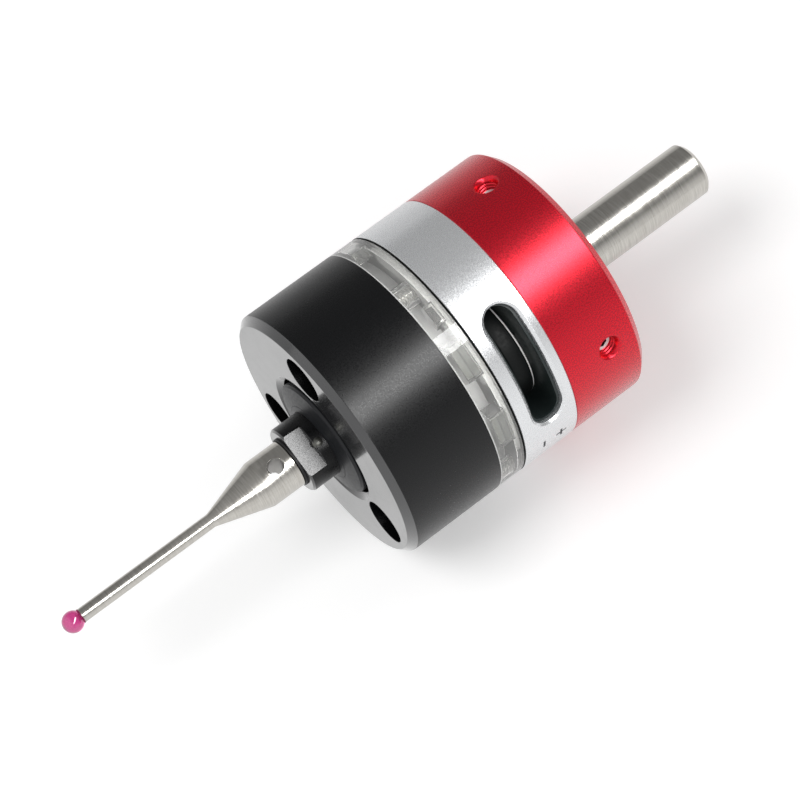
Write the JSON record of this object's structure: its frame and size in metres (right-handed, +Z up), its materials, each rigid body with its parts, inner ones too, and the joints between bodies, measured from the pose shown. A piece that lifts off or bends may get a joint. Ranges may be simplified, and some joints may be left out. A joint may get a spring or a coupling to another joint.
{
  "type": "three-dimensional edge finder",
  "caption": "Round touch probe for a machine spindle: steel shank, red, silver and black body rings with a clear lamp ring, and a sprung stylus with a ruby ball.",
  "frame": {"origin": "centre of the shank where it leaves the rear cap's face", "axes": "+X along the tool's axis, out of the rear cap along the shank; the stylus points along -X; +Z up with the tool lying on a bench, the cell slot facing up and towards -Y"},
  "size_m": [0.1066, 0.038, 0.038],
  "materials": {
    "black_anodised": "satin black anodised aluminium",
    "silver_anodised": "fine bead-blasted, clear anodised aluminium",
    "red_anodised": "satin red anodised aluminium",
    "steel": "turned stainless steel",
    "screw_steel": "blackened steel",
    "bright_steel": "polished steel",
    "ruby": "polished synthetic ruby",
    "clear_plastic": "satin clear acrylic",
    "rubber": "moulded rubber",
    "black_plastic": "moulded plastic",
    "insulator": "machined insulating plastic",
    "board": "white solder mask",
    "lamp_body": "moulded lamp body",
    "chip_black": "moulded chip body",
    "nickel": "nickel plate",
    "brass": "turned brass"
  },
  "bodies": {
    "body": {"front_housing": "black_anodised", "stack_screws": "screw_steel", "seat_blocks": "insulator", "seat_balls": "bright_steel", "return_spring": "bright_steel", "spring_plug": "insulator", "window_ring": "clear_plastic", "lamps": "lamp_body", "trigger_chip": "chip_black", "lamp_board": "board", "gasket": "rubber", "battery_body": "silver_anodised", "cell_holder": "black_plastic", "coin_cell": "nickel", "contact_minus": "nickel", "contact_plus": "nickel", "rear_cap": "red_anodised", "set_screws": "screw_steel", "shank": "steel", "clamp_ring": "brass"},
    "washer": {"dust_washer": "black_anodised"},
    "seal": {"neck_seal": "rubber"},
    "probe": {"stylus_holder": "black_anodised", "spider_arms": "bright_steel", "lock_pin": "bright_steel", "stylus_washer": "rubber", "stylus": "steel", "ruby_ball": "ruby"}
  },
  "joints": [
    {"name": "axial_push", "type": "slide", "parent": "body", "child": "washer", "axis": [1, 0, 0], "range_m": [0, 0.003], "stiffness_N_per_m": 1500, "springref_m": -0.0013, "deforming": ["return_spring"]},
    {"name": "tilt_on_upper_seats", "type": "hinge", "parent": "washer", "child": "seal", "pos_m": [-0.03294, 0.00159, 0.00594], "axis": [0, -0.9659, 0.2588], "range_deg": [0, 6], "stiffness_Nm_per_rad": 0.05, "springref_deg": -11.46, "deforming": ["return_spring", "neck_seal"]},
    {"name": "tilt_on_lower_seats", "type": "hinge", "parent": "seal", "child": "probe", "pos_m": [-0.03294, -0.00594, -0.00159], "axis": [0, 0.2588, -0.9659], "range_deg": [0, 6], "stiffness_Nm_per_rad": 0.05, "springref_deg": -11.46, "deforming": ["return_spring", "neck_seal"]}
  ]
}
